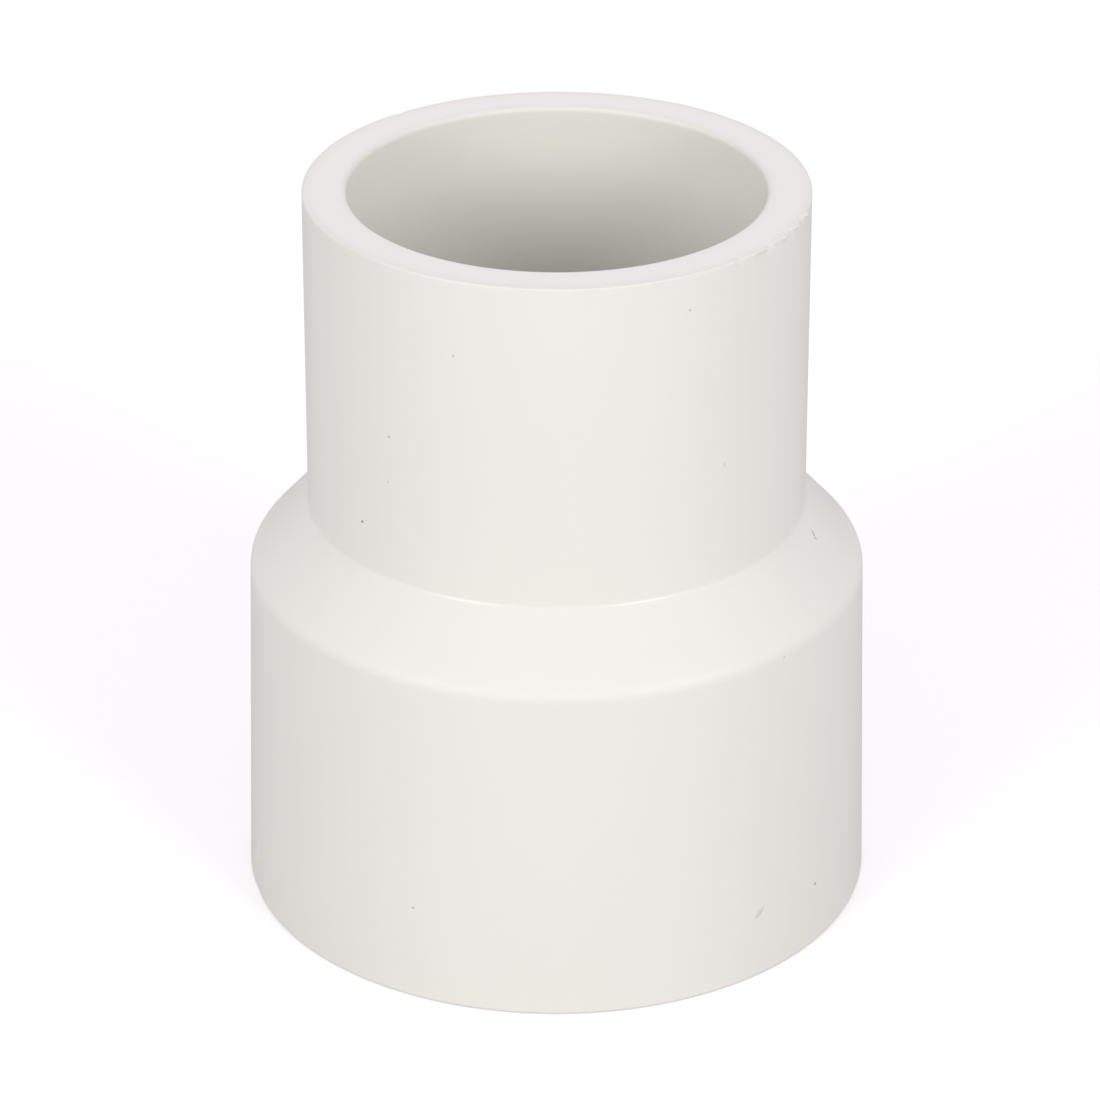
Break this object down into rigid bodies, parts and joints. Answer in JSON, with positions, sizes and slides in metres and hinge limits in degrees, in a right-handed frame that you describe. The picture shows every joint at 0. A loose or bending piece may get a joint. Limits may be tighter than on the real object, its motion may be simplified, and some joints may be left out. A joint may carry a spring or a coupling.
{
  "type": "pipe reducer",
  "caption": "Straight concentric reducing coupling: a large solvent-weld pipe socket stepping through a sloping shoulder to a smaller socket, moulded in one piece.",
  "frame": {"origin": "centre of the large socket's mouth face, which the part stands on", "axes": "+Z along the pipe axis from the large socket to the small socket's mouth; X and Y are free, because the part is a body of revolution"},
  "size_m": [0.0392, 0.0392, 0.046],
  "materials": {
    "white_pvc": "satin-gloss injection-moulded rigid PVC, slightly warm white"
  },
  "bodies": {
    "root": {"reducer_body": "white_pvc"}
  },
  "joints": []
}
